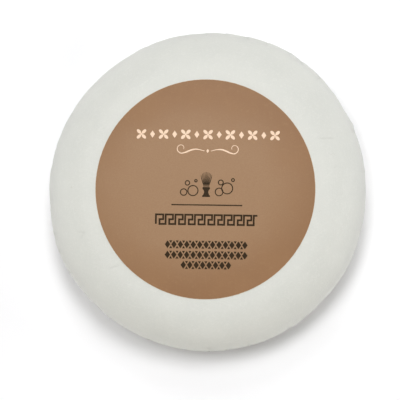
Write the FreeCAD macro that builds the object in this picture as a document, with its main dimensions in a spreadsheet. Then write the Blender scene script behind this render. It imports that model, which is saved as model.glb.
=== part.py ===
"""A round shaving soap puck in its pleated paper wrap, sealed by a label on each side.

Frame: +Z up through the printed label, +Y towards the top of that label, +X to its right.
The origin is the middle of the underside, on the face of the seal label that the puck rests on.
Units are millimetres.

The puck is a pressed disc of soap with a low crown, round shoulders and a flat base.
One sheet of thin paper covers the crown and the sides. Its rim is gathered under the base in knife
pleats, which stop short of the middle and leave a small mouth. The seal label covers the mouth and
holds the pleats, and the front label is stuck on the crown.
"""

import FreeCAD
import Part
import Sketcher
import math
import os

V = FreeCAD.Vector

# Driving dimensions: alias, value in mm (or a count), what it is.
SIZES = [
    ("soap_radius", 39.85, "widest radius of the soap"),
    ("soap_height", 21.40, "base to the top of the crown"),
    ("crown_radius", 300.0, "radius of the low crown on the top face"),
    ("top_shoulder", 11.0, "radius of the upper shoulder"),
    ("base_shoulder", 7.5, "radius of the lower shoulder"),
    ("wrap_gap", 0.05, "slack between the soap and the paper"),
    ("paper", 0.10, "thickness of the wrapping paper"),
    ("pleat_count", 48, "knife pleats around the underside"),
    ("pleat_step", 0.30, "height of the paper folded up in one pleat"),
    ("pleat_rise", 0.06, "step of a pleat where it starts"),
    ("pleat_root", 0.03, "how far a pleat reaches into its own sheet"),
    ("pleat_share", 0.92, "share of the pitch that one pleat covers"),
    ("pleat_outer", 31.0, "distance from the axis where a pleat starts"),
    ("pleat_inner", 9.5, "distance from the axis where a pleat ends"),
    ("pleat_skew", 4.0, "sideways travel of a pleat from start to end"),
    ("mouth_radius", 8.0, "opening that the gathered rim leaves"),
    ("label_radius", 27.40, "front label"),
    ("label_sheet", 0.12, "thickness of either label"),
    ("seal_radius", 18.0, "seal label under the base"),
]

# Lengths worked out from the driving dimensions, as formulas of the sheet.
DERIVED = [
    ("soap_base", "=label_sheet + pleat_step + paper + wrap_gap", "height of the soap's base"),
    ("sheet_base", "=label_sheet + pleat_step", "underside of the paper's first layer"),
    ("wrap_skin", "=wrap_gap + paper", "from the soap to the outside of the paper"),
    ("pleat_lip", "=sheet_base - pleat_rise", "height of the folded edge where a pleat starts"),
]


def new_sheet(doc):
    """The spreadsheet that holds every size, one row each: value, then what it is."""
    sheet = doc.addObject("Spreadsheet::Sheet", "sizes")
    rows = [(alias, str(value), note) for alias, value, note in SIZES] + DERIVED
    for row, (alias, content, note) in enumerate(rows, start=1):
        sheet.set(f"A{row}", content)
        sheet.setAlias(f"A{row}", alias)
        sheet.set(f"B{row}", note)
    doc.recompute()
    return sheet


def new_body(doc, name):
    body = doc.addObject("PartDesign::Body", name)
    body.Label = name
    return body


def plane_of(body, role):
    return next(feature for feature in body.Origin.OriginFeatures if feature.Role == role)


def new_sketch(body, name, role):
    """An empty sketch on one of the body's own origin planes."""
    sketch = body.newObject("Sketcher::SketchObject", name)
    sketch.AttachmentSupport = [(plane_of(body, role), "")]
    sketch.MapMode = "FlatFace"
    return sketch


def bind(sketch, constraint, formula):
    """Adds a dimension to the sketch and ties it to the sheet."""
    index = sketch.addConstraint(constraint)
    sketch.setExpression(f"Constraints[{index}]", formula)


def spin(body, kind, sketch, name):
    """A full turn of the sketch about the body's Z axis: kind is Revolution or Groove."""
    feature = body.newObject(f"PartDesign::{kind}", name)
    feature.Profile = sketch
    feature.ReferenceAxis = (sketch, ["V_Axis"])
    feature.Angle = 360.0
    return feature


def draw_puck_profile(sketch, sheet, offset, formula):
    """Half of the puck's section, grown outwards by offset (formula says the same to the sheet).

    From the axis: base line, lower shoulder, side, upper shoulder, crown, and back down the axis.
    """
    edge = sheet.soap_radius + offset
    low_arc = sheet.base_shoulder + offset
    high_arc = sheet.top_shoulder + offset
    crown = sheet.crown_radius + offset
    base = sheet.soap_base - offset
    top = sheet.soap_base + sheet.soap_height + offset
    crown_centre = top - crown
    reach = edge - high_arc
    side_top = crown_centre + math.sqrt((crown - high_arc) ** 2 - reach**2)
    lean = math.asin(reach / (crown - high_arc))

    def arc(centre, radius, start, end):
        circle = Part.Circle(centre, V(0, 0, 1), radius)
        return sketch.addGeometry(Part.ArcOfCircle(circle, start, end))

    base_line = sketch.addGeometry(Part.LineSegment(V(0, base, 0), V(edge - low_arc, base, 0)))
    low = arc(V(edge - low_arc, base + low_arc, 0), low_arc, -math.pi / 2, 0)
    side = sketch.addGeometry(Part.LineSegment(V(edge, base + low_arc, 0), V(edge, side_top, 0)))
    high = arc(V(reach, side_top, 0), high_arc, 0, math.pi / 2 - lean)
    cap = arc(V(0, crown_centre, 0), crown, math.pi / 2 - lean, math.pi / 2)
    axis = sketch.addGeometry(Part.LineSegment(V(0, top, 0), V(0, base, 0)))

    start, end, centre = 1, 2, 3
    joined = Sketcher.Constraint
    sketch.addConstraint([
        joined("Tangent", base_line, end, low, start),
        joined("Tangent", low, end, side, start),
        joined("Tangent", side, end, high, start),
        joined("Tangent", high, end, cap, start),
        joined("Coincident", cap, end, axis, start),
        joined("Coincident", axis, end, base_line, start),
        joined("Horizontal", base_line),
        joined("Vertical", side),
        joined("PointOnObject", base_line, start, -2),
        joined("PointOnObject", axis, start, -2),
        joined("PointOnObject", cap, centre, -2),
    ])
    root = -1
    bind(sketch, joined("DistanceX", root, start, side, start, edge), f"sizes.soap_radius + {formula}")
    bind(sketch, joined("DistanceY", root, start, base_line, start, base), f"sizes.soap_base - {formula}")
    bind(
        sketch,
        joined("DistanceY", root, start, axis, start, top),
        f"sizes.soap_base + sizes.soap_height + {formula}",
    )
    bind(sketch, joined("Radius", low, low_arc), f"sizes.base_shoulder + {formula}")
    bind(sketch, joined("Radius", high, high_arc), f"sizes.top_shoulder + {formula}")
    bind(sketch, joined("Radius", cap, crown), f"sizes.crown_radius + {formula}")


def make_soap(doc, sheet):
    """The pressed puck itself."""
    body = new_body(doc, "soap_puck")
    section = new_sketch(body, "soap_section", "XZ_Plane")
    draw_puck_profile(section, sheet, 0.0, "0")
    spin(body, "Revolution", section, "soap_form")
    return body


def draw_pleat_end(body, sheet, name, distance, fold):
    """One station of a pleat, across the sheet: a low wedge that rises to the folded edge.

    It stands in a plane square to X at the named distance from the axis. The folded edge reaches down
    to the named height, and the pleat drifts sideways along Y as it runs inwards.
    """
    sketch = new_sketch(body, name, "YZ_Plane")
    sketch.AttachmentOffset = FreeCAD.Placement(V(0, 0, sheet.get(distance)), FreeCAD.Rotation())
    sketch.setExpression("AttachmentOffset.Base.z", f"sizes.{distance}")
    root = sheet.sheet_base + sheet.pleat_root
    edge = sheet.get(fold)
    width = 2 * math.pi * sheet.get(distance) / sheet.pleat_count * sheet.pleat_share
    run = sheet.pleat_outer - sheet.pleat_inner
    drift = sheet.pleat_skew * (sheet.pleat_outer - sheet.get(distance)) / run
    corners = [V(drift, root, 0), V(drift + width, root, 0), V(drift + width, edge, 0)]
    base_line, step_line, slope_line = [
        sketch.addGeometry(Part.LineSegment(corners[i], corners[(i + 1) % len(corners)]))
        for i in range(len(corners))
    ]
    start, end, origin = 1, 2, -1
    rule = Sketcher.Constraint
    sketch.addConstraint([
        rule("Coincident", base_line, end, step_line, start),
        rule("Coincident", step_line, end, slope_line, start),
        rule("Coincident", slope_line, end, base_line, start),
        rule("Horizontal", base_line),
        rule("Vertical", step_line),
    ])
    bind(
        sketch,
        rule("DistanceX", base_line, start, base_line, end, width),
        f"2 * pi * sizes.{distance} / sizes.pleat_count * sizes.pleat_share",
    )
    bind(
        sketch,
        rule("DistanceY", origin, start, base_line, start, root),
        "sizes.sheet_base + sizes.pleat_root",
    )
    bind(sketch, rule("DistanceY", origin, start, step_line, end, edge), f"sizes.{fold}")
    bind(
        sketch,
        rule("DistanceX", origin, start, base_line, start, drift),
        f"sizes.pleat_skew * (sizes.pleat_outer - sizes.{distance})"
        " / (sizes.pleat_outer - sizes.pleat_inner)",
    )
    return sketch


def make_wrapper(doc, sheet):
    """The paper: a thin shell round the puck, open in the middle of its underside, with its pleats."""
    body = new_body(doc, "wrapper")
    outside = new_sketch(body, "paper_outside", "XZ_Plane")
    draw_puck_profile(outside, sheet, sheet.wrap_skin, "sizes.wrap_skin")
    spin(body, "Revolution", outside, "paper_form")
    inside = new_sketch(body, "paper_inside", "XZ_Plane")
    draw_puck_profile(inside, sheet, sheet.wrap_gap, "sizes.wrap_gap")
    spin(body, "Groove", inside, "paper_hollow")
    doc.recompute()

    stations = [
        draw_pleat_end(body, sheet, name, distance, fold)
        for name, distance, fold in [
            ("pleat_start", "pleat_outer", "pleat_lip"),
            ("pleat_middle", "seal_radius", "label_sheet"),
            ("pleat_finish", "pleat_inner", "label_sheet"),
        ]
    ]
    pleat = body.newObject("PartDesign::AdditiveLoft", "pleat")
    pleat.Profile = stations[0]
    pleat.Sections = stations[1:]
    pleat.Ruled = True
    doc.recompute()

    pleats = body.newObject("PartDesign::PolarPattern", "pleats")
    pleats.Originals = [pleat]
    pleats.Axis = (outside, ["V_Axis"])
    pleats.Angle = 360.0
    pleats.Occurrences = int(sheet.pleat_count)
    pleats.setExpression("Occurrences", "sizes.pleat_count")
    body.Tip = pleats
    doc.recompute()

    rim = new_sketch(body, "mouth_rim", "XY_Plane")
    circle = rim.addGeometry(Part.Circle(V(), V(0, 0, 1), sheet.mouth_radius))
    rim.addConstraint(Sketcher.Constraint("Coincident", circle, 3, -1, 1))
    bind(rim, Sketcher.Constraint("Radius", circle, sheet.mouth_radius), "sizes.mouth_radius")
    mouth = body.newObject("PartDesign::Pocket", "mouth")
    mouth.Profile = rim
    mouth.Length = sheet.soap_base
    mouth.setExpression("Length", "sizes.soap_base")
    mouth.Reversed = True
    body.Tip = mouth
    return body


def make_front_label(doc, sheet):
    """The label on the crown: a thin disc that follows the paper under it."""
    body = new_body(doc, "front_label")
    section = new_sketch(body, "front_label_section", "XZ_Plane")
    under = sheet.crown_radius + sheet.wrap_skin
    centre = sheet.soap_base + sheet.soap_height - sheet.crown_radius
    over = under + sheet.label_sheet

    def arc(radius, at_start, at_end):
        circle = Part.Circle(V(0, centre, 0), V(0, 0, 1), radius)
        return section.addGeometry(Part.ArcOfCircle(circle, at_start, at_end))

    def point(radius, x):
        return V(x, centre + math.sqrt(radius**2 - x**2), 0)

    def lean(radius):
        return math.acos(sheet.label_radius / radius)

    lower = arc(under, lean(under), math.pi / 2)
    upper = arc(over, lean(over), math.pi / 2)
    cut = section.addGeometry(
        Part.LineSegment(point(under, sheet.label_radius), point(over, sheet.label_radius))
    )
    axis = section.addGeometry(Part.LineSegment(point(over, 0), point(under, 0)))
    start, end, middle, origin = 1, 2, 3, -1
    rule = Sketcher.Constraint
    section.addConstraint([
        rule("Coincident", lower, start, cut, start),
        rule("Coincident", upper, start, cut, end),
        rule("Coincident", upper, end, axis, start),
        rule("Coincident", lower, end, axis, end),
        rule("Coincident", lower, middle, upper, middle),
        rule("PointOnObject", lower, middle, -2),
        rule("PointOnObject", axis, start, -2),
        rule("PointOnObject", axis, end, -2),
        rule("Vertical", cut),
    ])
    skin = "sizes.crown_radius + sizes.wrap_skin"
    bind(section, rule("Radius", lower, under), skin)
    bind(section, rule("Radius", upper, over), f"{skin} + sizes.label_sheet")
    bind(section, rule("DistanceX", origin, start, cut, start, sheet.label_radius), "sizes.label_radius")
    bind(
        section,
        rule("DistanceY", origin, start, axis, end, centre + under),
        "sizes.soap_base + sizes.soap_height + sizes.wrap_skin",
    )
    spin(body, "Revolution", section, "front_label_form")
    return body


def make_seal_label(doc, sheet):
    """The flat round label that closes the gathered paper under the base."""
    body = new_body(doc, "seal_label")
    outline = new_sketch(body, "seal_outline", "XY_Plane")
    circle = outline.addGeometry(Part.Circle(V(), V(0, 0, 1), sheet.seal_radius))
    outline.addConstraint(Sketcher.Constraint("Coincident", circle, 3, -1, 1))
    bind(outline, Sketcher.Constraint("Radius", circle, sheet.seal_radius), "sizes.seal_radius")
    disc = body.newObject("PartDesign::Pad", "seal_disc")
    disc.Profile = outline
    disc.Length = sheet.label_sheet
    disc.setExpression("Length", "sizes.label_sheet")
    return body


def check(doc, bodies):
    """Stops the build if any object failed or any piece isn't one sound solid."""
    failed = [o.Name for o in doc.Objects if {"Invalid", "Error"} & set(o.State)]
    if failed:
        raise RuntimeError(f"these objects failed: {failed}")
    for body in bodies:
        shape = body.Shape
        if shape.isNull() or not shape.isValid() or len(shape.Solids) != 1:
            raise RuntimeError(f"{body.Label} is not one valid solid")


def main():
    doc = FreeCAD.newDocument("shaving_soap_puck")
    sheet = new_sheet(doc)
    bodies = [make(doc, sheet) for make in (make_soap, make_wrapper, make_front_label, make_seal_label)]
    doc.recompute()
    check(doc, bodies)
    os.makedirs("parts", exist_ok=True)
    for body in bodies:
        body.Shape.exportStep(f"parts/{body.Label}.step")
        box = body.Shape.BoundBox
        print(
            f"{body.Label}: {body.Shape.Volume:.1f} mm3, x {box.XMin:.3f} to {box.XMax:.3f}, "
            f"z {box.ZMin:.3f} to {box.ZMax:.3f}"
        )


main()
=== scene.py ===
"""The looks of a round shaving soap puck: pleated paper wrap, printed front label, seal label, soap.

Lengths are written in millimetres and turned into metres where a mesh is made. The outer sizes are
read from the frame. The radii, the mouth and the pleats repeat the CAD model's driving dimensions.
"""

import bpy
import math
import numpy as np
from mathutils import Matrix, Vector


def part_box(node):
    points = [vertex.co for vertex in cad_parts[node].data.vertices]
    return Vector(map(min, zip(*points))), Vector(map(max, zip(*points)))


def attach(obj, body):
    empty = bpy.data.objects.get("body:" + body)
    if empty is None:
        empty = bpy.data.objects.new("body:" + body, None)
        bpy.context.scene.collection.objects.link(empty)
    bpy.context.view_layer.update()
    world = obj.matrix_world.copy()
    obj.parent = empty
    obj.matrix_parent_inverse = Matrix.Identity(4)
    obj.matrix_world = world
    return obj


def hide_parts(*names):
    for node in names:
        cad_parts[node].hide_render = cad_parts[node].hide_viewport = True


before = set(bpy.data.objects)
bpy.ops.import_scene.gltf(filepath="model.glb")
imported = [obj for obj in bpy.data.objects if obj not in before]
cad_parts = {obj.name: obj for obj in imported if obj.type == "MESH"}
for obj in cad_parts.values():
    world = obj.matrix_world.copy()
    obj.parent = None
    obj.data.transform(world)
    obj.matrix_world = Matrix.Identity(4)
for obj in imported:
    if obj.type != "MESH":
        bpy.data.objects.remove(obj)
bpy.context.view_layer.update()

MM = 0.001
TAU = 2 * math.pi
dice = np.random.default_rng(48)


def box_mm(node):
    """The lowest and the highest corner of a CAD node's box, in millimetres."""
    low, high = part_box(node)
    return low / MM, high / MM


soap_low, soap_high = box_mm("soap_puck")
wrap_high = box_mm("wrapper")[1]
label_high = box_mm("front_label")[1]
seal_high = box_mm("seal_label")[1]

# Shape of the wrapped puck.
EDGE = wrap_high.x
SKIN = EDGE - soap_high.x
TOP_SHOULDER = 11.0 + SKIN
BASE_SHOULDER = 7.5 + SKIN
CROWN = 300.0 + SKIN
SHEET_BASE = soap_low.z - SKIN
PAPER = 0.10
LABEL_EDGE = label_high.x
LABEL_SHEET = label_high.z - wrap_high.z
SEAL_EDGE = seal_high.x
MOUTH = 8.0

# Pleats, as in the CAD model.
PLEATS = 48
PLEAT_OUTER = 31.0
PLEAT_INNER = 9.5
PLEAT_SKEW = 4.0
PLEAT_STEP = 0.28


# ------- the puck's section


class Section:
    """The outside of the paper, followed from the top of the crown round to the mouth in the underside."""

    def __init__(self):
        self.reach = EDGE - TOP_SHOULDER
        self.crown_centre = wrap_high.z - CROWN
        self.lean = math.asin(self.reach / (CROWN - TOP_SHOULDER))
        self.side_top = self.crown_centre + math.sqrt((CROWN - TOP_SHOULDER) ** 2 - self.reach**2)
        self.side_low = SHEET_BASE + BASE_SHOULDER
        lengths = [
            CROWN * self.lean,
            TOP_SHOULDER * (math.pi / 2 - self.lean),
            self.side_top - self.side_low,
            BASE_SHOULDER * math.pi / 2,
            EDGE - BASE_SHOULDER - MOUTH,
        ]
        stops = np.cumsum(lengths)
        self.crown_end, self.shoulder_end, self.side_end, self.base_start, self.mouth = stops

    def at(self, travel):
        """Radius, height and the two parts of the outward normal at a distance along the section."""
        s = np.asarray(travel, float)
        r, z = np.zeros_like(s), np.zeros_like(s)
        nr, nz = np.zeros_like(s), np.zeros_like(s)

        def arc(mask, turn, centre_r, centre_z, radius):
            nr[mask], nz[mask] = np.sin(turn), np.cos(turn)
            r[mask], z[mask] = centre_r + radius * np.sin(turn), centre_z + radius * np.cos(turn)

        on = s <= self.crown_end
        arc(on, s[on] / CROWN, 0.0, self.crown_centre, CROWN)
        on = (s > self.crown_end) & (s <= self.shoulder_end)
        turn = self.lean + (s[on] - self.crown_end) / TOP_SHOULDER
        arc(on, turn, self.reach, self.side_top, TOP_SHOULDER)
        on = (s > self.shoulder_end) & (s <= self.side_end)
        r[on], z[on] = EDGE, self.side_top - (s[on] - self.shoulder_end)
        nr[on] = 1.0
        on = (s > self.side_end) & (s <= self.base_start)
        turn = math.pi / 2 + (s[on] - self.side_end) / BASE_SHOULDER
        arc(on, turn, EDGE - BASE_SHOULDER, self.side_low, BASE_SHOULDER)
        on = s > self.base_start
        r[on], z[on] = EDGE - BASE_SHOULDER - (s[on] - self.base_start), SHEET_BASE
        nz[on] = -1.0
        return r, z, nr, nz


section = Section()


def smooth(value, low, high):
    """0 below low, 1 above high, and a smooth step between."""
    t = np.clip((value - low) / (high - low), 0.0, 1.0)
    return t * t * (3 - 2 * t)


# ------- unevenness shared by paper and label

# Slow waves of the sheet: heading, length, phase, share.
SWELLS = [
    (dice.uniform(0, TAU), dice.uniform(9.0, 26.0), dice.uniform(0, TAU), dice.uniform(0.4, 1.0))
    for _ in range(14)
]
SWELL_LEVEL = 0.7


def swell(x, y):
    """Slow unevenness of the hand-laid paper, between about -1 and 1."""
    total = np.zeros_like(x)
    weight = 0.0
    for heading, length, phase, share in SWELLS:
        along = x * math.cos(heading) + y * math.sin(heading)
        total = total + share * np.sin(along * TAU / length + phase)
        weight += share**2
    return total / math.sqrt(weight) * SWELL_LEVEL


# How far the swells lift the paper on the crown and on the side, how far inside the crown's edge they
# start to grow, and how deep the paper may lie.
CROWN_SWELL = 0.018
SIDE_SWELL = 0.075
LOOSE_FROM = 2.0
DEEPEST_DENT = -0.08


def crown_height(x, y):
    """Height of the paper's outside on the crown."""
    rho2 = x * x + y * y
    return section.crown_centre + np.sqrt(CROWN**2 - rho2) + CROWN_SWELL * swell(x, y)


# ------- mesh helpers


def new_piece(name, verts_mm, faces, material, smooth_shading=True):
    """A mesh object from points in millimetres, riding on the row's one body."""
    mesh = bpy.data.meshes.new(name)
    mesh.from_pydata([tuple(p) for p in np.asarray(verts_mm) * MM], [], faces)
    mesh.validate()
    mesh.polygons.foreach_set("use_smooth", [smooth_shading] * len(mesh.polygons))
    mesh.materials.append(material)
    piece = bpy.data.objects.new(name, mesh)
    bpy.context.scene.collection.objects.link(piece)
    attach(piece, "root")
    return piece


def ring_faces(first, second, count):
    """Quads between two rings of the same count, given the index of each ring's first point."""
    return [
        (first + j, first + (j + 1) % count, second + (j + 1) % count, second + j)
        for j in range(count)
    ]


def step_down_faces(fine, fine_count, coarse, coarse_count):
    """Faces between a fine ring and a coarse one that has a whole fraction of its points."""
    share = fine_count // coarse_count
    faces = []
    for k in range(coarse_count):
        run = [fine + (k * share + i) % fine_count for i in range(share + 1)]
        faces.append((*run, coarse + (k + 1) % coarse_count, coarse + k))
    return faces


def flipped(faces):
    """The same faces, seen from their other side."""
    return [tuple(reversed(face)) for face in faces]


# ------- the wrapper

# One pleat across the sheet: share of the pitch and share of the step, from the foot of the slope,
# over the fold and back under it. Unfolded columns are evenly spaced.
PLEAT_COLUMNS = [
    (0.000, 0.00), (0.080, 0.05), (0.200, 0.16), (0.340, 0.31), (0.480, 0.47),
    (0.620, 0.63), (0.750, 0.78), (0.860, 0.90), (0.940, 0.97), (0.985, 1.00),
    (1.010, 0.93), (1.018, 0.78), (1.005, 0.60), (0.965, 0.46), (0.955, 0.22),
]
UNDER_FOLD = 12
COLUMNS = PLEATS * len(PLEAT_COLUMNS)
FOLD_FORMS_AT = 0.10

# The coarser rings of the hidden paper start where the first pleat does.
INNER_COLUMNS = COLUMNS // 4
INNER_TURNS = -TAU / PLEATS + np.arange(INNER_COLUMNS) * TAU / INNER_COLUMNS

# How the folded step grows along the section, from where the first folds form to the seal.
FOLD_FIRST = section.shoulder_end - 5.0
STEP_STATIONS = [
    (FOLD_FIRST, 0.0),
    (section.shoulder_end, 0.09),
    (section.side_end, 0.12),
    (section.base_start, 0.20),
    (section.mouth, PLEAT_STEP),
]

# How the pleats differ: place and bend as shares of the pitch, height, and where a fold starts to form.
PLACE_OFF = 0.13
BEND_OFF = 0.10
HEIGHT_SHARES = (0.75, 1.0)
FORMS_LATER = (-1.0, 1.6)


def pleat_layout():
    """For each pleat: its fold's angle, its pitch, and how high, how late and how bent it is."""
    pitch = TAU / PLEATS
    folds = (np.arange(PLEATS) + dice.uniform(-PLACE_OFF, PLACE_OFF, PLEATS)) * pitch
    gaps = (folds - np.roll(folds, 1)) % TAU
    heights = dice.uniform(*HEIGHT_SHARES, PLEATS)
    lateness = dice.uniform(*FORMS_LATER, PLEATS)
    bends = dice.normal(0.0, BEND_OFF, PLEATS) * pitch
    return [values[None, :, None] for values in (folds, gaps, heights, lateness, bends)]


# The fine creases: how many, how high they start, how they differ, how strong they are high on the side
# and how much stronger low down, and how strongly their ridges get a painted highlight and their grooves
# painted shade.
FINE_LINES = 280
FIRST_LINE = 32.0
LINE_SLANT = 0.80
LINE_LENGTHS = (2.5, 9.0)
LINE_DEPTHS = (0.04, 0.16)
LINE_WIDTHS = (0.6, 1.3)
HIGH_LINES = 0.3
LOW_LINES = 1.2
LINES_GROW = 6.0
LINE_PAINTED_LIGHT = 0.6


def draw_lines():
    """Fine random creases, mostly low on the side: heading, travel, slant, length, depth and half width."""
    lines = []
    for _ in range(FINE_LINES):
        lines.append((
            dice.uniform(0, TAU),
            dice.triangular(FIRST_LINE, section.shoulder_end, section.side_end),
            dice.normal(0.0, LINE_SLANT),
            dice.uniform(*LINE_LENGTHS),
            dice.uniform(*LINE_DEPTHS) * dice.choice([-1, 1]),
            dice.uniform(*LINE_WIDTHS),
        ))
    return lines


# Where the paper stands off the side or hugs it: heading and half width in degrees, and distance.
SLACK = [(62, 15, 0.70), (204, 7, 0.35), (132, 11, -0.27), (353, 12, -0.38), (317, 9, -0.20)]

# How far it stands off all round, where on the section that starts, and over what length it comes back
# at the base; how much a millimetre of slack deepens the folds.
LOOSE_SIDE = 0.20
SLACK_FROM = 35.5
SLACK_ENDS = 6.0
LOOSE_GATHER = 1.5


def side_slack(angle, travel):
    """How far the paper stands off the shoulder and the side: a little all round, more in places."""
    slack = LOOSE_SIDE
    for heading, half_width, distance in SLACK:
        off = (angle - math.radians(heading) + math.pi) % TAU - math.pi
        slack = slack + distance * np.exp(-0.5 * (off / math.radians(half_width)) ** 2)
    grows = smooth(travel, SLACK_FROM, section.shoulder_end)
    return slack * grows * (1 - smooth(travel, section.base_start - SLACK_ENDS, section.base_start))


# The stronger creases, in the order of draw_lines: thin ones right of the label and at its lower left,
# and soft ones on the shoulder.
SHARP_CREASES = [
    (math.radians(22.7), 32.9, -0.32, 6.4, -0.075, 0.24),
    (math.radians(9.6), 32.9, 0.60, 1.9, -0.050, 0.24),
    (math.radians(220.3), 29.9, -0.43, 4.4, -0.070, 0.26),
    (math.radians(198.8), 33.0, -0.33, 3.0, -0.060, 0.30),
    (math.radians(200.5), 32.9, 0.58, 3.2, -0.050, 0.34),
]
SOFT_CREASES = [
    (math.radians(214.7), 31.3, -0.50, 3.6, -0.045, 0.50),
    (math.radians(331), 40.5, 0.2, 5.0, 0.11, 1.50),
    (math.radians(322), 41.5, -0.3, 4.0, -0.09, 1.20),
    (math.radians(346), 38.4, 0.9, 5.0, -0.10, 0.90),
]

# Shallow dents on the shoulder: heading in degrees, distance from the axis, size and depth.
DENTS = [(335, 36.4, 2.3, 0.11), (197, 35.3, 1.9, 0.06), (343, 38.2, 2.4, 0.10), (231, 37.6, 2.6, 0.07),
         (252, 38.6, 2.2, 0.08), (284, 38.2, 2.4, 0.08), (306, 37.4, 2.0, 0.06), (112, 38.0, 2.4, 0.06)]


def dents(x, y):
    """How deep the paper is pressed in at a place."""
    depth = np.zeros_like(x)
    for heading, distance, size, deepest in DENTS:
        turn = math.radians(heading)
        gap2 = (x - distance * math.cos(turn)) ** 2 + (y - distance * math.sin(turn)) ** 2
        depth = depth + deepest * np.exp(-gap2 / size**2)
    return depth


def rounded(sideways):
    """Profile of a soft crease."""
    return np.exp(-0.9 * sideways**2)


def pinched(sideways):
    """Profile of a crease with a sharp edge."""
    return np.exp(-1.8 * np.abs(sideways))


def crease_relief(angle, travel, radius, creases, profile=rounded):
    """Sum of the creases, each a ridge or groove of one profile along a short line on the sheet."""
    relief = np.zeros_like(radius)
    for turn, start, slant, length, depth, width in creases:
        across = ((angle - turn + math.pi) % TAU - math.pi) * radius
        along = travel - start
        lengthwise = along * math.cos(slant) + across * math.sin(slant)
        sideways = across * math.cos(slant) - along * math.sin(slant)
        fade = 1 - smooth(np.abs(lengthwise), 0.15 * length, 0.5 * length)
        relief += depth * fade * profile(sideways / width)
    return relief


MOST_TWIST = 0.9


def twist(radius):
    """How far round the axis the slanting pleats have turned at a radius on the underside."""
    drift = PLEAT_SKEW * np.clip((PLEAT_OUTER - radius) / (PLEAT_OUTER - PLEAT_INNER), 0, None)
    return np.arcsin(np.clip(drift / radius, 0, MOST_TWIST))


# Rings of the visible paper: the gaps between them on the top and the side, and how many there are
# round the lower shoulder and under the base. The first ring lies a little under the label.
UNDER_LABEL = 1.5
TOP_GAP, SIDE_GAP = 0.34, 0.50
LOW_RINGS, BASE_RINGS = 21, 27


def wrapper_travels():
    """Where the rings of the visible paper lie along the section."""
    top = np.arange(LABEL_EDGE - UNDER_LABEL, section.shoulder_end, TOP_GAP)
    side = np.arange(section.shoulder_end, section.side_end, SIDE_GAP)
    low = np.linspace(section.side_end, section.base_start, LOW_RINGS)[:-1]
    base = np.linspace(section.base_start, section.mouth, BASE_RINGS)
    return np.concatenate([top, side, low, base])


# Where a colour mark starts and is full: by a pleat's rise for its rubbed ridge and for the painted shade
# at its foot, by how far a fold has formed for the painted shade under it, and how dark that painted shade
# gets, by height for the painted highlight on fine crease ridges and the painted shade in their grooves,
# and for the painted shade in sharp creases.
RIDGE_MARK = (0.85, 1.0)
FOOT_SHADE_MARK = (0.0, 0.25)
UNDER_SHADE_MARK = (0.6, 1.0)
UNDER_FOLD_SHADE = 0.7
FINE_LIGHT_SHADE_MARK = (0.01, 0.12)
SHARP_SHADE_MARK = (0.012, 0.080)


def paper_outside(travels):
    """Points of the visible paper, ring by ring, and how far each is rubbed or painted light (fold) or
    painted shade (valley).
    """
    fold, pitch, tall, late, bend = pleat_layout()
    share, rise = np.array(PLEAT_COLUMNS).T
    column = np.arange(len(share))
    even = column / len(share)

    # Every array has three dimensions from here on: rings, pleats, columns of a pleat.
    s = travels[:, None, None]
    r, z, nr, nz = (values[:, None, None] for values in section.at(travels))
    above_base = 1 - smooth(s, section.side_end, section.base_start)
    gather = 1 + LOOSE_GATHER * (side_slack(fold, section.shoulder_end) - LOOSE_SIDE) * above_base
    stations, steps = zip(*STEP_STATIONS)
    step = np.interp(s - late * (s < section.base_start), stations, steps) * tall * gather
    formed = smooth(step, 0.0, FOLD_FORMS_AT)
    place = even * (1 - formed) + share * formed
    angle = fold - pitch + place * pitch + bend * smooth(s, FOLD_FIRST, section.mouth)
    angle = angle + np.where(s > section.base_start, twist(r), 0.0)

    x0, y0 = r * np.cos(angle), r * np.sin(angle)
    loose = smooth(s, section.crown_end - LOOSE_FROM, section.shoulder_end)
    lumps = (CROWN_SWELL * (1 - loose) + SIDE_SWELL * loose) * swell(x0, y0) - dents(x0, y0)
    free = smooth(s, LABEL_EDGE, LABEL_EDGE + 1.0) * above_base
    spots = (angle, np.broadcast_to(s, angle.shape), np.broadcast_to(r, angle.shape))
    sharp = crease_relief(*spots, SHARP_CREASES) * free
    lower = smooth(s, section.shoulder_end - LINES_GROW, section.side_end)
    lines = crease_relief(*spots, draw_lines(), pinched) * (HIGH_LINES + LOW_LINES * lower)
    soft = (crease_relief(*spots, SOFT_CREASES) + lines) * free
    proud = np.maximum(lumps * above_base + sharp + soft + side_slack(angle, s), DEEPEST_DENT) + step * rise

    r_out, z_out = r + nr * proud, z + nz * proud
    points = np.stack([r_out * np.cos(angle), r_out * np.sin(angle), z_out], axis=-1)
    covered = column >= UNDER_FOLD
    fine = lines * free
    # The fold mark is wear on the pleats' rubbed ridges and a painted highlight on the fine crease ridges.
    folds = formed * smooth(rise, *RIDGE_MARK) + LINE_PAINTED_LIGHT * smooth(fine, *FINE_LIGHT_SHADE_MARK)
    foot_shade = formed * (1 - smooth(rise, *FOOT_SHADE_MARK))
    # The valley mark is painted shade: darker at a pleat's foot, under a fold and in the grooves of
    # creases.
    painted_shade = np.where(covered, UNDER_FOLD_SHADE * smooth(formed, *UNDER_SHADE_MARK), foot_shade)
    painted_shade = painted_shade + smooth(-sharp, *SHARP_SHADE_MARK) + LINE_PAINTED_LIGHT * smooth(-fine, *FINE_LIGHT_SHADE_MARK)
    return points.reshape(len(travels), COLUMNS, 3), {"fold": folds, "valley": painted_shade}


def plain_ring(travel):
    """A coarse ring of the paper's inside, without any relief."""
    radius, height, nr, nz = (float(v[0]) for v in section.at([travel]))
    turn = INNER_TURNS + (twist(radius) if travel > section.base_start else 0.0)
    r, z = radius - nr * PAPER, height - nz * PAPER
    return np.stack([r * np.cos(turn), r * np.sin(turn), np.full(INNER_COLUMNS, z)], axis=-1)


def crown_ring(radius):
    """A coarse ring on the crown, following the slow swells."""
    x, y = radius * np.cos(INNER_TURNS), radius * np.sin(INNER_TURNS)
    return np.stack([x, y, crown_height(x, y)], axis=-1)


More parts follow.
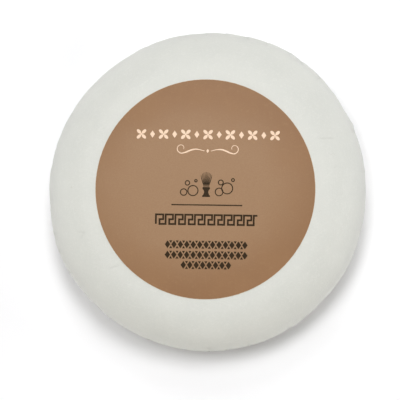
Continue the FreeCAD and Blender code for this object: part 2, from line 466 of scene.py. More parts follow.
# Rings of the hidden paper: radii under the label; how many the inside has under the base, round the
# lower shoulder and round the upper one; their places on the crown.
HIDDEN_RINGS = (LABEL_EDGE - 3.5, 20.0, 13.0, 6.0)
INSIDE_BASE, INSIDE_LOW, INSIDE_HIGH = 6, 9, 11
INSIDE_CROWN = (20.0, 10.0)


def build_wrapper(material):
    """The sheet as one closed shell: outside with its pleats, cut rim at the mouth, plain inside."""
    travels = wrapper_travels()
    outside, marks = paper_outside(travels)
    verts = list(outside.reshape(-1, 3))
    faces = []
    last = (len(travels) - 1) * COLUMNS
    for ring in range(0, last, COLUMNS):
        faces += flipped(ring_faces(ring, ring + COLUMNS, COLUMNS))

    def add(points):
        start = len(verts)
        verts.extend(points)
        return start

    # Under the label the paper is hidden and its rings are coarser, down to a point at the top.
    above = add(crown_ring(HIDDEN_RINGS[0]))
    faces += step_down_faces(0, COLUMNS, above, INNER_COLUMNS)
    for radius in HIDDEN_RINGS[1:]:
        below, above = above, add(crown_ring(radius))
        faces += ring_faces(below, above, INNER_COLUMNS)
    peak = add([(0.0, 0.0, float(crown_height(0.0, 0.0)))])
    faces += [(above + j, above + (j + 1) % INNER_COLUMNS, peak) for j in range(INNER_COLUMNS)]

    # The inside, from the mouth back up to the crown.
    inner = add(plain_ring(section.mouth))
    faces += flipped(step_down_faces(last, COLUMNS, inner, INNER_COLUMNS))
    for travel in (
        *np.linspace(section.mouth, section.base_start, INSIDE_BASE)[1:],
        *np.linspace(section.base_start, section.side_end, INSIDE_LOW)[1:],
        *np.linspace(section.shoulder_end, section.crown_end, INSIDE_HIGH),
        *INSIDE_CROWN,
    ):
        previous, inner = inner, add(plain_ring(travel))
        faces += flipped(ring_faces(previous, inner, INNER_COLUMNS))
    top = add([(0.0, 0.0, wrap_high.z - PAPER)])
    faces += [(inner + (j + 1) % INNER_COLUMNS, inner + j, top) for j in range(INNER_COLUMNS)]
    sheet = new_piece("paper_wrapper", verts, faces, material)
    for name, values in marks.items():
        along_verts = np.zeros(len(verts))
        along_verts[: values.size] = np.clip(values, 0.0, 1.0).ravel()
        sheet.data.attributes.new(name, "FLOAT", "POINT").data.foreach_set("value", along_verts)
    return sheet


# ------- the labels

# Rings of a label, and the points round a ring that lies beyond each radius.
DISC_RINGS = 56
DISC_COLUMNS = [(12.0, 360), (4.0, 120), (0.0, 40)]

# Small blisters under the front label: distance from its middle, heading, size and height.
BLISTERS = [
    (dice.uniform(4.0, 24.0), dice.uniform(0, TAU), dice.uniform(1.2, 3.0), dice.uniform(0.008, 0.020))
    for _ in range(10)
]

# How far the front label's edge lifts, and how close to the edge: a higher power lifts less of it.
EDGE_LIFT = 0.016
EDGE_POWER = 10


def label_ripple(x, y):
    """How far the front label stands off the paper: blisters, and an edge that lifts here and there."""
    rho, turn = np.hypot(x, y), np.arctan2(y, x)
    waves = 1.6 + np.sin(5 * turn + 0.7) + 0.6 * np.sin(11 * turn + 2.0)
    lift = EDGE_LIFT * (rho / LABEL_EDGE) ** EDGE_POWER * waves
    for distance, heading, size, rise in BLISTERS:
        gap2 = (x - distance * math.cos(heading)) ** 2 + (y - distance * math.sin(heading)) ** 2
        lift = lift + rise * np.exp(-gap2 / size**2)
    return lift


def front_face(x, y):
    """Height of the front label's printed face."""
    return crown_height(x, y) + LABEL_SHEET + label_ripple(x, y)


# How deep the pleats show in the seal label, the radii between which they begin to show, outside its
# print, how far the label sinks over the mouth and how wide the floor of that hollow is.
SEAL_PLEATS = 0.042
SEAL_SHOWS = (MOUTH + 3.0, MOUTH + 5.5)
SEAL_SINK = 0.045
SEAL_HOLLOW = 2.0


def seal_face(x, y):
    """Height of the seal label's outer face, which shows the pleats under it round its print."""
    rho, turn = np.hypot(x, y), np.arctan2(y, x)
    phase = ((turn - twist(np.maximum(rho, MOUTH))) / TAU * PLEATS) % 1.0
    valley = (1 - phase) * smooth(phase, 0.0, 0.4)
    hollow = 1 - smooth(rho, SEAL_HOLLOW, MOUTH)
    return SEAL_PLEATS * valley * smooth(rho, *SEAL_SHOWS) + SEAL_SINK * hollow


def disc_piece(name, edge, face, sheet, materials, upward):
    """A round label of even thickness. Its printed side follows face(x, y); its back and edge are bare."""
    side = 1.0 if upward else -1.0
    radii = np.linspace(0, edge, DISC_RINGS + 1)[1:]
    counts = [next(count for start, count in DISC_COLUMNS if radius > start) for radius in radii]
    verts = []

    def layer(depth):
        """One side of the sheet, from its middle out: its faces and the first point of its last ring."""
        faces, last, last_count = [], None, 0
        middle = len(verts)
        verts.append((0.0, 0.0, float(face(0.0, 0.0)) - side * depth))
        for radius, count in zip(radii, counts):
            turn = np.arange(count) * TAU / count
            x, y = radius * np.cos(turn), radius * np.sin(turn)
            ring = len(verts)
            verts.extend(np.stack([x, y, face(x, y) - side * depth], axis=-1))
            if last is None:
                faces += [(middle, ring + j, ring + (j + 1) % count) for j in range(count)]
            elif count == last_count:
                faces += ring_faces(ring, last, count)
            else:
                faces += step_down_faces(ring, count, last, last_count)
            last, last_count = ring, count
        return faces, last

    printed, printed_rim = layer(0.0)
    glued, glued_rim = layer(sheet)
    cut = ring_faces(glued_rim, printed_rim, counts[-1])
    faces = printed + flipped(glued) + cut
    if not upward:
        faces = flipped(faces)
    piece = new_piece(name, verts, faces, materials[0])
    piece.data.materials.append(materials[1])
    bare = [0] * len(printed) + [1] * (len(glued) + len(cut))
    piece.data.polygons.foreach_set("material_index", bare)
    rims = {first + j for first in (printed_rim, glued_rim) for j in range(counts[-1])}
    for line in piece.data.edges:
        a, b = line.vertices
        line.use_edge_sharp = a in rims and b in rims and abs(a - b) < counts[-1]
    return piece


# ------- printed ornament

# How far the ink stands over the label's face and reaches into it.
INK_UP, INK_DOWN = 0.012, 0.010

# The front print sits a little askew on its label, and off its middle.
FRONT_TURN = math.radians(-1.0)
FRONT_SHIFT = 0.55

# A mitred corner stands out by half the line's width over this at most.
LEAST_MITRE = 0.5


class Print:
    """Flat printed shapes in millimetres on a label, built as thin closed patches of one piece."""

    def __init__(self):
        self.verts, self.faces = [], []

    def patch(self, points, faces, rims):
        """Adds a patch: its points, the faces of its printed side and a closed walk round each rim."""
        start, n = len(self.verts), len(points)
        self.verts += [(x, y, INK_UP) for x, y in points] + [(x, y, -INK_DOWN) for x, y in points]
        self.faces += [tuple(start + i for i in face) for face in faces]
        self.faces += [tuple(start + n + i for i in reversed(face)) for face in faces]
        for rim in rims:
            for a, b in zip(rim, rim[1:] + rim[:1]):
                self.faces.append((start + b, start + a, start + n + a, start + n + b))

    def fill(self, outline):
        """A filled shape. Its outline runs counterclockwise, and its middle sees all of it."""
        n = len(outline)
        middle = np.mean(outline, axis=0)
        points = [tuple(p) for p in outline] + [tuple(middle)]
        self.patch(points, [(i, (i + 1) % n, n) for i in range(n)], [list(range(n))])

    def stroke(self, path, width, closed=False):
        """A line along a path, of one width or a width for each point, with mitred corners."""
        path = np.asarray(path, float)
        n = len(path)
        half = np.broadcast_to(np.asarray(width, float) / 2, (n,))
        ahead = np.roll(path, -1, 0) - path
        if not closed:
            ahead[-1] = ahead[-2]
        ahead /= np.linalg.norm(ahead, axis=1)[:, None]
        behind = np.roll(ahead, 1, 0)
        if not closed:
            behind[0] = ahead[0]
        left = np.stack([-ahead[:, 1], ahead[:, 0]], 1)
        mitre = left + np.stack([-behind[:, 1], behind[:, 0]], 1)
        mitre /= np.linalg.norm(mitre, axis=1)[:, None]
        reach = half / np.maximum(LEAST_MITRE, np.sum(mitre * left, 1))
        points = [tuple(p) for p in path + mitre * reach[:, None]]
        points += [tuple(p) for p in path - mitre * reach[:, None]]
        last = n if closed else n - 1
        faces = [(i, n + i, n + (i + 1) % n, (i + 1) % n) for i in range(last)]
        out, back = list(range(n, 2 * n)), list(range(n - 1, -1, -1))
        self.patch(points, faces, [out, back] if closed else [out + back])

    def build(self, name, face, material, upward=True, turn=0.0, shift=0.0):
        """The piece, turned about the label's middle, shifted sideways and laid on the label's face."""
        u, v, proud = np.array(self.verts).T
        x = u * math.cos(turn) - v * math.sin(turn) + shift
        y = u * math.sin(turn) + v * math.cos(turn)
        points = np.column_stack([x, y, face(x, y) + (proud if upward else -proud)])
        faces = self.faces if upward else flipped(self.faces)
        return new_piece(name, points, faces, material, smooth_shading=False)


def ellipse(x, y, wide, tall, count, turn=0.0):
    """Points round an ellipse, counterclockwise."""
    a = np.arange(count) * TAU / count
    u, v = wide / 2 * np.cos(a), tall / 2 * np.sin(a)
    along, up = math.cos(turn), math.sin(turn)
    return np.stack([x + u * along - v * up, y + u * up + v * along], 1)


def lozenge(x, y, wide, tall):
    """The four corners of a lozenge, counterclockwise."""
    return np.array([(x + wide / 2, y), (x, y + tall / 2), (x - wide / 2, y), (x, y - tall / 2)])


def flower(sheet, x, y, size):
    """A printer's flower: four petals on the diagonals and a dot."""
    reach, long, wide, dot = 0.30 * size, 0.46 * size, 0.27 * size, 0.16 * size
    for k in range(4):
        heading = math.pi / 4 + k * math.pi / 2
        petal_x, petal_y = x + reach * math.cos(heading), y + reach * math.sin(heading)
        sheet.fill(ellipse(petal_x, petal_y, long, wide, 20, heading))
    sheet.fill(ellipse(x, y, dot, dot, 12))


def flower_band(sheet, y, width, size, count):
    """A row of flowers with small lozenges between them, in the middle of the label."""
    pitch = (width - size) / (count - 1)
    wide, tall = 0.42 * size, 0.62 * size
    for i in range(count):
        x = (i - (count - 1) / 2) * pitch
        if i % 2 == 0:
            flower(sheet, x, y, size)
        else:
            sheet.fill(lozenge(x, y, wide, tall))


def lozenge_band(sheet, y, size, pitch, count):
    """A close row of solid lozenges with small wedges in the gaps above and below."""
    wide, rim, tip, half = 0.70 * size, 0.5 * size, 0.16 * size, 0.20 * size
    wedge = np.array([(-half, rim), (0, tip), (half, rim)])
    for i in range(count):
        x = (i - (count - 1) / 2) * pitch
        sheet.fill(lozenge(x, y, wide, size))
        if i:
            gap = np.array([x - pitch / 2, y])
            sheet.fill(gap + wedge)
            sheet.fill(gap - wedge)


def flourish(sheet, y, width):
    """Two mirrored scrolls that swell and taper, with a lozenge between them."""
    reach = width / 2
    inner, length, curl = 0.10 * reach, reach * 0.74, reach * 0.16
    rise, thin, swelling = 0.62, 0.13, 0.24

    # The wave takes the first part of the path, and the coil at its outer end the rest.
    t = np.linspace(0, 1, 60)
    body = 0.72
    wave = np.clip(t / body, 0, 1)
    x = inner + wave * length
    bend = rise * np.sin(wave * math.pi * 1.5) * (0.5 + 0.5 * wave)
    coil = np.clip((t - body) / (1 - body), 0, 1)
    turn = -math.pi / 2 + coil * math.pi * 1.6
    radius = curl * (1 - 0.55 * coil)
    foot_x, foot_y = x[wave >= 1][0], bend[wave >= 1][0]
    hook_x = foot_x + radius * np.cos(turn)
    hook_y = foot_y + curl + radius * np.sin(turn)
    x = np.where(coil > 0, hook_x, x)
    bend = np.where(coil > 0, hook_y, bend)
    line = thin + swelling * np.sin(np.pi * np.clip(t * 1.05, 0, 1)) ** 2
    sheet.stroke(np.stack([x, y + bend], 1), line)
    sheet.stroke(np.stack([-x, y + bend], 1)[::-1], line[::-1])
    sheet.fill(lozenge(0, y, 0.7, 1.0))


def key_band(sheet, y, width, tall, line, count):
    """A running key pattern, drawn on a grid of four steps to a key."""
    key = [(0, 0), (0, 4), (3, 4), (3, 2), (1.5, 2), (1.5, 0)]
    tail = 1.5 / 4
    pitch = width / (count + tail)
    path = [((k + u / 4) * pitch, v / 4 * tall) for k in range(count) for u, v in key]
    path += [(count * pitch, 0), (count * pitch, tall), ((count + tail) * pitch, tall)]
    path = np.array(path) + [-width / 2, y - tall / 2]
    sheet.stroke(path, line)


# The brush mark, seen from its middle: half of the handle's outline, the ferrule, the foot and the top
# of the middle hair, and the place and size of each bubble.
HANDLE = [(0.0, -3.1), (0.95, -3.1), (1.0, -2.85), (0.70, -2.45), (0.50, -1.95), (0.62, -1.45),
          (0.92, -1.10), (0.95, -0.85), (0.80, -0.62), (0.0, -0.62)]
FERRULE_HALF, FERRULE_UP = 0.78, -0.36
HAIR_FOOT, HAIR_TOP = -0.12, 3.1
HAIRS = range(-4, 5)
HAIR_LINE = 0.20
BUBBLES = [(-3.3, -1.55, 2.5), (-5.6, -1.95, 1.6), (-4.7, 0.35, 1.1), (-2.6, 0.9, 0.6),
           (3.2, -1.80, 1.9), (5.2, -0.9, 2.7), (3.6, 0.55, 1.2), (6.6, 1.2, 0.7)]
MARK_LINE = 0.26


def brush_mark(sheet, x, y):
    """A shaving brush standing on its handle, 6.2 mm tall, with bubbles on both sides."""
    right = [(x + u, y + v) for u, v in HANDLE]
    left = [(x - u, y + v) for u, v in reversed(HANDLE[1:-1])]
    sheet.fill(np.array(right + left))
    sheet.stroke([(x - FERRULE_HALF, y + FERRULE_UP), (x + FERRULE_HALF, y + FERRULE_UP)], MARK_LINE)
    for k in HAIRS:
        foot, tip = 0.17 * k, 0.34 * k
        top = HAIR_TOP - 0.045 * k * k
        s = np.linspace(0, 1, 8)
        bow = foot + (tip - foot) * (1.25 * s - 0.25 * s**3)
        hair = np.stack([x + bow, y + HAIR_FOOT + (top - HAIR_FOOT) * s], 1)
        sheet.stroke(hair, HAIR_LINE * (1 - 0.55 * s**3))
    for u, v, size in BUBBLES:
        sheet.stroke(ellipse(x + u, y + v, size, size, 32), MARK_LINE, closed=True)


def rule(sheet, y, width, line, count):
    """A straight line of short steps, so that it follows the label's face."""
    sheet.stroke(np.stack([np.linspace(-width / 2, width / 2, count), np.full(count, y)], 1), line)


def front_print(cream, dark):
    """The front label's ornament, from the flower band at the top to the lozenge rows at the foot."""
    light = Print()
    flower_band(light, y=13.5, width=36.2, size=2.95, count=13)
    flourish(light, y=9.4, width=15.6)
    deep = Print()
    brush_mark(deep, x=-0.2, y=1.05)
    rule(deep, y=-4.05, width=17.6, line=0.31, count=30)
    key_band(deep, y=-7.7, width=25.2, tall=2.35, line=0.46, count=10)
    for y, count in ((-13.9, 13), (-16.45, 13), (-18.95, 8)):
        lozenge_band(deep, y, size=1.95, pitch=1.60, count=count)
    return [
        light.build("front_print_cream", front_face, cream, turn=FRONT_TURN, shift=FRONT_SHIFT),
        deep.build("front_print_dark", front_face, dark, turn=FRONT_TURN, shift=FRONT_SHIFT),
    ]


def seal_print(dark):
    """The seal label's ornament: a fine ring, a brush, a rule and three rows of lozenges."""
    sheet = Print()
    across, line = 32.4, 0.22
    sheet.stroke(ellipse(0, 0, across, across, 720), line, closed=True)
    brush_mark(sheet, x=0.0, y=5.2)
    rule(sheet, y=0.0, width=16.0, line=0.20, count=24)
    for y, count in ((-3.0, 10), (-6.0, 8), (-9.0, 6)):
        lozenge_band(sheet, y, size=1.7, pitch=1.40, count=count)
    return sheet.build("seal_print", seal_face, dark, upward=False)


# ------- materials


class Recipe:
    """A node material in the making. Places inside it are in millimetres."""

    def __init__(self, name):
        self.material = bpy.data.materials.new(name)
        self.material.use_nodes = True
        self.tree = self.material.node_tree
        self.tree.nodes.clear()
        here = self.node("TexCoord").outputs["Object"]
        self.place = self.stretch(here, (1 / MM, 1 / MM, 1 / MM))

    def node(self, kind, inputs=None, **settings):
        """A node of one kind, named without ShaderNode, with its inputs and settings."""
        node = self.tree.nodes.new("ShaderNode" + kind)
        for key, value in settings.items():
            setattr(node, key, value)
        for key, value in (inputs or {}).items():
            self.feed(node.inputs[key], value)
        return node

    def feed(self, socket, value):
        """Links another node's output to a socket, or writes a plain value into it."""
        if isinstance(value, bpy.types.NodeSocket):
            self.tree.links.new(value, socket)
        else:
            socket.default_value = value

    def stretch(self, vector, scale, turn=0.0):
        """The vector turned about Z and scaled along each axis."""
        inputs = {"Vector": vector, "Angle": turn}
        turned = self.node("VectorRotate", inputs, rotation_type="Z_AXIS")
        return self.vector("MULTIPLY", turned.outputs[0], scale)

    def vector(self, operation, first, second):
        """Arithmetic of two vectors, part by part."""
        return self.node("VectorMath", {0: first, 1: second}, operation=operation).outputs[0]

    def reach(self, vector):
        return self.node("VectorMath", {0: vector}, operation="LENGTH").outputs["Value"]

    def noise(self, per_mm, detail, rough, warp=0.0, vector=None):
        """Noise between 0 and 1 with about per_mm features in a millimetre."""
        inputs = {"Vector": vector or self.place, "Scale": per_mm, "Detail": detail, "Roughness": rough}
        inputs["Distortion"] = warp
        return self.node("TexNoise", inputs, noise_type="FBM", normalize=True).outputs[0]

    def span(self, value, low, high, to_low=0.0, to_high=1.0):
        """The value taken from one range into another, and held at its ends."""
        inputs = {"Value": value, "From Min": low, "From Max": high, "To Min": to_low, "To Max": to_high}
        return self.node("MapRange", inputs, interpolation_type="SMOOTHSTEP").outputs[0]

    def sum(self, *parts):
        """Sum of value times weight."""
        total = None
        for value, weight in parts:
            inputs = {0: value, 1: weight, 2: total or 0.0}
            total = self.node("Math", inputs, operation="MULTIPLY_ADD").outputs[0]
        return total

    def product(self, first, second):
        return self.node("Math", {0: first, 1: second}, operation="MULTIPLY").outputs[0]

    def blend(self, share, first, second):
        """From the first colour to the second."""
        node = self.node("Mix", data_type="RGBA")
        self.feed(node.inputs["Factor"], share)
        self.feed(node.inputs[6], first)
        self.feed(node.inputs[7], second)
        return node.outputs[2]

    def mark(self, name):
        """A number stored on the mesh's points."""
        return self.node("Attribute", attribute_name=name).outputs["Fac"]

    def bump(self, height, depth_mm, strength):
        """A normal bent by a height between 0 and 1."""
        inputs = {"Height": height, "Distance": depth_mm * MM, "Strength": strength}
        return self.node("Bump", inputs).outputs[0]

    def finish(self, **inputs):
        """Closes the recipe with a Principled surface. Names have _ for a space."""
        named = {key.replace("_", " "): value for key, value in inputs.items()}
        surface = self.node("BsdfPrincipled", named)
        output = self.node("OutputMaterial")
        self.tree.links.new(surface.outputs[0], output.inputs[0])
        return self.material


def grey(value):
    return (value, value, value, 1.0)


# Directions of the fibre: turn, and features in a millimetre along and across.
FIBRE_LAYERS = [(0.35, 0.35, 2.6), (1.45, 0.30, 2.9), (2.55, 0.40, 2.3)]


def fibres(recipe):
    """Fine paper fibre: thin streaks laid in three directions."""
    layers = []
    for turn, along, across in FIBRE_LAYERS:
        laid = recipe.stretch(recipe.place, (along, across, across), turn)
        streak = recipe.noise(1.0, 3.0, 0.6, 0.6, laid)
        layers.append((recipe.span(streak, 0.48, 0.68), 1 / len(FIBRE_LAYERS)))
    return recipe.sum(*layers)


# Colours of the wrapping paper: its clouds, fibre, grain, flecks, the painted shade of the valleys, and the
# rubbed folds, lighter from wear and, on fine crease ridges, from a painted highlight.
WRAP_DULL, WRAP_BRIGHT = (0.656, 0.664, 0.621, 1), (0.675, 0.681, 0.636, 1)
WRAP_FIBRE = (0.715, 0.719, 0.676, 1)
WRAP_GRAIN = (0.585, 0.590, 0.545, 1)
WRAP_FLECK = (0.55, 0.535, 0.475, 1)
WRAP_PAINTED_SHADE = (0.455, 0.455, 0.42, 1)
WRAP_WEAR_AND_HIGHLIGHT = (0.745, 0.745, 0.72, 1)


def wrap_material():
    """Thin off-white wrapping paper: cloudy sheet formation, fibres, rubbed and painted-light folds,
    painted grey shade in valleys.
    """
    recipe = Recipe("wrap_paper")
    cloud = recipe.noise(0.16, 6.0, 0.62)
    fibre = fibres(recipe)
    grain = recipe.noise(5.5, 2.0, 0.6)
    colour = recipe.blend(recipe.span(cloud, 0.32, 0.68), WRAP_DULL, WRAP_BRIGHT)
    colour = recipe.blend(recipe.span(fibre, 0.1, 0.6, 0.0, 0.55), colour, WRAP_FIBRE)
    colour = recipe.blend(recipe.span(grain, 0.52, 0.75, 0.0, 0.30), colour, WRAP_GRAIN)
    fleck = recipe.noise(0.9, 1.0, 0.5, 1.0)
    colour = recipe.blend(recipe.span(fleck, 0.76, 0.82, 0.0, 0.3), colour, WRAP_FLECK)
    # Painted shade: the valley mark darkens the paper at the pleats' feet, under the folds and in creases.
    colour = recipe.blend(recipe.product(recipe.mark("valley"), 0.30), colour, WRAP_PAINTED_SHADE)
    # Rubbed folds are lighter from wear; fine crease ridges are lighter from a painted highlight.
    colour = recipe.blend(recipe.product(recipe.mark("fold"), 0.45), colour, WRAP_WEAR_AND_HIGHLIGHT)
    height = recipe.sum((cloud, 0.30), (fibre, 0.45), (grain, 0.25))
    return recipe.finish(
        Base_Color=colour,
        Roughness=recipe.sum((cloud, 0.14), (fibre, 0.10), (recipe.mark("fold"), 0.08), (1.0, 0.46)),
        Specular_IOR_Level=0.42,
        Sheen_Weight=0.10,
        Sheen_Roughness=0.45,
        Normal=recipe.bump(height, 0.07, 0.80),
    )


# Colours of a label's printed tan: its clouds, the middle paled by a painted sheen, the tooth, fibre,
# scuffs and worn rim.
TAN_DEEP, TAN_LIGHT = (0.282, 0.151, 0.073, 1), (0.309, 0.169, 0.082, 1)
TAN_PAINTED_SHEEN = (0.347, 0.208, 0.113, 1)
TAN_TOOTH = (0.275, 0.147, 0.074, 1)
TAN_FIBRE = (0.42, 0.26, 0.13, 1)
TAN_SCUFF = (0.52, 0.34, 0.19, 1)
TAN_RIM = (0.74, 0.62, 0.47, 1)

# The painted sheen that pales the middle of a label of radius 1: how far off the middle it lies, where it
# fades, and how much its reach along X counts. Then the worn rim's width, in millimetres.
PAINTED_SHEEN_OFF = 0.09
PAINTED_SHEEN_FADE = (0.62, 1.08)
PAINTED_SHEEN_SQUEEZE = 0.8
WORN_RIM = 0.12


def label_material(name, edge):
    """Matt tan label print: uneven ink, a middle paled by a painted sheen, the paper's tooth, light scuffs,
    a worn rim.
    """
    recipe = Recipe(name)
    cloud = recipe.noise(0.10, 5.0, 0.6)
    tooth = recipe.noise(3.2, 3.0, 0.6)
    fibre = fibres(recipe)
    colour = recipe.blend(recipe.span(cloud, 0.3, 0.7), TAN_DEEP, TAN_LIGHT)
    # Painted sheen: the middle of the label, a little off centre, is paler as if it caught the light.
    off_middle = recipe.vector("ADD", recipe.place, (PAINTED_SHEEN_OFF * edge, 0, 0))
    oval = recipe.vector("MULTIPLY", off_middle, (PAINTED_SHEEN_SQUEEZE, 1, 0))
    uneven = recipe.sum((recipe.reach(oval), 1.0), (cloud, 0.3 * edge))
    painted_sheen = recipe.span(uneven, PAINTED_SHEEN_FADE[0] * edge, PAINTED_SHEEN_FADE[1] * edge, 1.0, 0.0)
    colour = recipe.blend(painted_sheen, colour, TAN_PAINTED_SHEEN)
    colour = recipe.blend(recipe.span(tooth, 0.30, 0.75, 0.0, 0.30), colour, TAN_TOOTH)
    colour = recipe.blend(recipe.span(fibre, 0.2, 0.7, 0.0, 0.14), colour, TAN_FIBRE)
    scuff = recipe.noise(1.0, 4.0, 0.65, 0.4, recipe.stretch(recipe.place, (0.05, 1.3, 1.0), 0.8))
    scuffed = recipe.product(recipe.span(scuff, 0.66, 0.76), recipe.span(cloud, 0.45, 0.62))
    colour = recipe.blend(recipe.product(scuffed, 0.16), colour, TAN_SCUFF)
    outward = recipe.reach(recipe.vector("MULTIPLY", recipe.place, (1, 1, 0)))
    ragged = recipe.sum((outward, 1.0), (recipe.noise(1.4, 3.0, 0.6), 0.16), (-0.08, 1.0))
    rim = recipe.span(ragged, edge - WORN_RIM, edge)
    colour = recipe.blend(recipe.product(rim, 0.70), colour, TAN_RIM)
    return recipe.finish(
        Base_Color=colour,
        Roughness=recipe.sum((tooth, 0.10), (cloud, 0.06), (rim, 0.10), (1.0, 0.37)),
        Specular_IOR_Level=0.15,
        Normal=recipe.bump(recipe.sum((tooth, 0.5), (fibre, 0.5)), 0.03, 0.40),
    )


# Colours of the bare label stock.
CORE_DULL, CORE_BRIGHT = (0.66, 0.60, 0.50, 1), (0.76, 0.71, 0.62, 1)
CORE_FIBRE = (0.82, 0.79, 0.71, 1)


def core_material():
    """The bare stock at a label's cut edge and back."""
    recipe = Recipe("label_core")
    fibre = fibres(recipe)
    tooth = recipe.noise(2.4, 4.0, 0.65)
    colour = recipe.blend(recipe.span(tooth, 0.3, 0.7), CORE_DULL, CORE_BRIGHT)
    colour = recipe.blend(recipe.product(fibre, 0.5), colour, CORE_FIBRE)
    return recipe.finish(
        Base_Color=colour,
        Roughness=recipe.sum((tooth, 0.15), (1.0, 0.68)),
        Normal=recipe.bump(fibre, 0.03, 0.6),
    )


# Inks: colour where the ink lies thick and where it lies thin, least roughness and shine.
CREAM_INK = ((0.87, 0.64, 0.46, 1), (0.74, 0.51, 0.33, 1), 0.40, 0.4)
DARK_INK = ((0.030, 0.017, 0.006, 1), (0.075, 0.040, 0.016, 1), 0.50, 0.12)


def ink_material(name, thick, thin, rough, shine):
    """Printing ink that lies a little unevenly on the paper's tooth."""
    recipe = Recipe(name)
    tooth = recipe.noise(3.2, 3.0, 0.6)
    cloud = recipe.noise(0.25, 4.0, 0.6)
    starved = recipe.sum((recipe.span(tooth, 0.52, 0.80), 0.55), (recipe.span(cloud, 0.4, 0.8), 0.25))
    return recipe.finish(
        Base_Color=recipe.blend(starved, thick, thin),
        Roughness=recipe.sum((tooth, 0.18), (1.0, rough)),
        Specular_IOR_Level=shine,
        Normal=recipe.bump(tooth, 0.02, 0.5),
    )


# The soap's colours, and how far light spreads in it.
SOAP_DEEP, SOAP_PALE = (0.82, 0.78, 0.66, 1), (0.90, 0.87, 0.78, 1)
SOAP_PORE = (0.72, 0.67, 0.55, 1)
SOAP_SPREAD = 2.5


def soap_material():
    """Hard milled soap: waxy cream, faintly marbled, with fine mill marks."""
    recipe = Recipe("soap")
    marble = recipe.noise(0.07, 5.0, 0.55, 1.6)
    mill = recipe.noise(1.0, 4.0, 0.6, 0.3, recipe.stretch(recipe.place, (0.12, 1.6, 0.6), 0.3))
    pores = recipe.noise(1.8, 2.0, 0.5)
    colour = recipe.blend(recipe.span(marble, 0.3, 0.7), SOAP_DEEP, SOAP_PALE)
    colour = recipe.blend(recipe.span(pores, 0.70, 0.78, 0.0, 0.4), colour, SOAP_PORE)
    return recipe.finish(
        Base_Color=colour,
        Roughness=recipe.sum((marble, 0.12), (mill, 0.16), (1.0, 0.30)),
        Subsurface_Weight=0.30,
        Subsurface_Radius=(1.0, 0.8, 0.55),
        Subsurface_Scale=SOAP_SPREAD * MM,
        Normal=recipe.bump(recipe.sum((mill, 0.6), (pores, 0.4)), 0.08, 0.5),
    )


# ------- putting it together

wrapper = build_wrapper(wrap_material())
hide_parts("wrapper")

core = core_material()
tan_front = label_material("label_print", LABEL_EDGE)
front = disc_piece("label_front", LABEL_EDGE, front_face, LABEL_SHEET, (tan_front, core), upward=True)
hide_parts("front_label")

tan_seal = label_material("seal_print_tan", SEAL_EDGE)
seal = disc_piece("label_seal", SEAL_EDGE, seal_face, LABEL_SHEET, (tan_seal, core), upward=False)
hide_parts("seal_label")

cream_ink = ink_material("ink_cream", *CREAM_INK)
dark_ink = ink_material("ink_dark", *DARK_INK)
for piece in front_print(cream_ink, dark_ink):
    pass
seal_print(dark_ink)

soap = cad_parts["soap_puck"]
soap.data.materials.clear()
soap.data.materials.append(soap_material())


# ------- floor, light, camera

# The floor: its colour, how uneven and how blue it is; its glow near the puck, and far off for surfaces
# and for the camera; where the far glow starts and is full; its half width and how deep it lies.
FLOOR_ALBEDO = 0.95
FLOOR_CLOUD = 0.01
FLOOR_COOL = 0.015
FLOOR_GLOW = 0.01
FLOOR_FAR_GLOW = 0.23
FLOOR_FAR_SEEN = 0.95
FLOOR_BRIGHTENS = (120.0, 420.0)
FLOOR_HALF = 3000.0
FLOOR_DROP = 0.02


def floor_tone(shift):
    """The floor's colour, made lighter by shift."""
    level = FLOOR_ALBEDO + shift
    return (level, level, level + FLOOR_COOL, 1.0)


def floor_material():
    """Plain pale sweep. It turns clear when the camera is under it, so that the underside can be seen."""
    recipe = Recipe("floor")
    colour = recipe.blend(recipe.noise(0.004, 2.0, 0.5), floor_tone(-FLOOR_CLOUD), floor_tone(FLOOR_CLOUD))
    paint = recipe.node("BsdfDiffuse", {"Color": colour})
    far = recipe.span(recipe.reach(recipe.place), *FLOOR_BRIGHTENS)
    seen = recipe.node("LightPath").outputs["Is Camera Ray"]
    far_glow = recipe.span(seen, 0.0, 1.0, FLOOR_FAR_GLOW, FLOOR_FAR_SEEN)
    strength = recipe.sum((recipe.product(far, far_glow), 1.0), (1.0, FLOOR_GLOW))
    glow = recipe.node("Emission", {"Color": grey(1.0), "Strength": strength})
    lit = recipe.node("AddShader", {0: paint.outputs[0], 1: glow.outputs[0]})
    eye = recipe.node(
        "VectorTransform", {"Vector": (0.0, 0.0, 0.0)},
        vector_type="POINT", convert_from="CAMERA", convert_to="WORLD",
    )
    level = recipe.node("SeparateXYZ", {0: eye.outputs[0]}).outputs["Z"]
    above = recipe.node("Math", {0: level, 1: 0.0}, operation="GREATER_THAN").outputs[0]
    clear = recipe.node("BsdfTransparent")
    choice = recipe.node("MixShader", {0: above, 1: clear.outputs[0], 2: lit.outputs[0]})
    output = recipe.node("OutputMaterial")
    recipe.tree.links.new(choice.outputs[0], output.inputs[0])
    return recipe.material


def build_floor():
    """A wide flat square just under the puck."""
    mesh = bpy.data.meshes.new("floor")
    half = FLOOR_HALF * MM
    corners = [(-half, -half), (half, -half), (half, half), (-half, half)]
    mesh.from_pydata([(x, y, -FLOOR_DROP * MM) for x, y in corners], [], [(0, 1, 2, 3)])
    mesh.materials.append(floor_material())
    floor = bpy.data.objects.new("floor", mesh)
    bpy.context.scene.collection.objects.link(floor)


PUCK_MIDDLE = Vector((0.0, 0.0, wrap_high.z / 2)) * MM

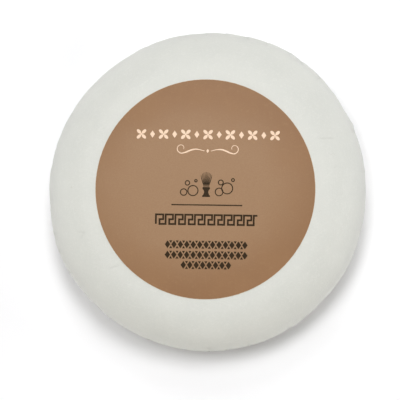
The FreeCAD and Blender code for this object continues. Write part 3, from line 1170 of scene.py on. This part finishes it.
# Round soft boxes: heading from +Y towards +X, elevation and half of the angle they fill, all three in
# degrees, and radiance.
SOFT_BOXES = {
    "key": (10, 70, 9, 12.4),
    "high_left": (300, 76, 9, 11.4),
    "high_right": (60, 68, 11, 4.4),
    "back": (0, 48, 10, 7.0),
    "front_low": (180, 16, 11, 7.6),
    "left_low": (270, 14, 11, 5.5),
    "right_low": (90, 14, 11, 6.6),
    "under_key": (150, -62, 14, 12.0),
    "under_fill": (320, -48, 16, 6.0),
}
WARM_BOX = "front_low"
WARM_LIGHT = (1.05, 1.0, 0.91)
BOX_DISTANCE = 1200.0
WORLD_FILL = 0.03
SKY_SEEN = 1.0


def soft_box(name, heading, elevation, half_angle, radiance):
    """A round light that faces the puck and that the camera doesn't see."""
    light = bpy.data.lights.new(name, "AREA")
    light.shape = "DISK"
    light.size = 2 * BOX_DISTANCE * math.tan(math.radians(half_angle)) * MM
    light.energy = radiance * math.pi * math.pi * (light.size / 2) ** 2
    if name == WARM_BOX:
        light.color = WARM_LIGHT
    lamp = bpy.data.objects.new(name, light)
    h, e = math.radians(heading), math.radians(elevation)
    back = Vector((math.sin(h) * math.cos(e), math.cos(h) * math.cos(e), math.sin(e)))
    lamp.location = PUCK_MIDDLE + back * BOX_DISTANCE * MM
    lamp.rotation_euler = back.to_track_quat("Z", "Y").to_euler()
    lamp.visible_camera = False
    bpy.context.scene.collection.objects.link(lamp)


def build_world():
    """Even fill from all round; the camera itself sees a plain white sky."""
    world = bpy.data.worlds.new("studio")
    world.use_nodes = True
    tree = world.node_tree
    tree.nodes.clear()
    path = tree.nodes.new("ShaderNodeLightPath")
    mix = tree.nodes.new("ShaderNodeMixShader")
    tree.links.new(path.outputs["Is Camera Ray"], mix.inputs[0])
    for place, strength in ((1, WORLD_FILL), (2, SKY_SEEN)):
        sky = tree.nodes.new("ShaderNodeBackground")
        sky.inputs["Color"].default_value = grey(1.0)
        sky.inputs["Strength"].default_value = strength
        tree.links.new(sky.outputs[0], mix.inputs[place])
    output = tree.nodes.new("ShaderNodeOutputWorld")
    tree.links.new(mix.outputs[0], output.inputs[0])
    bpy.context.scene.world = world


# The camera's place from the point it aims at, and that point's place from the puck's middle.
CAMERA_FROM = Vector((35.0, -36.0, 600.0))
AIM_OFF = Vector((-1.85, -2.12, 0.0))
CAMERA_LENS = 214.5
SENSOR = 36.0


def build_camera():
    """Nearly overhead, a little from the lower right, with +Y up in the picture."""
    data = bpy.data.cameras.new("camera")
    data.sensor_width = SENSOR
    data.lens = CAMERA_LENS
    camera = bpy.data.objects.new("camera", data)
    bpy.context.scene.collection.objects.link(camera)
    target = PUCK_MIDDLE + AIM_OFF * MM
    camera.location = target + CAMERA_FROM * MM
    back = CAMERA_FROM.normalized()
    right = Vector((0, 1, 0)).cross(back).normalized()
    up = back.cross(right)
    camera.rotation_euler = Matrix((right, up, back)).transposed().to_euler()
    bpy.context.scene.camera = camera


build_floor()
for box_name, setting in SOFT_BOXES.items():
    soft_box(box_name, *setting)
build_world()
build_camera()
bpy.context.scene.view_settings.view_transform = "Standard"
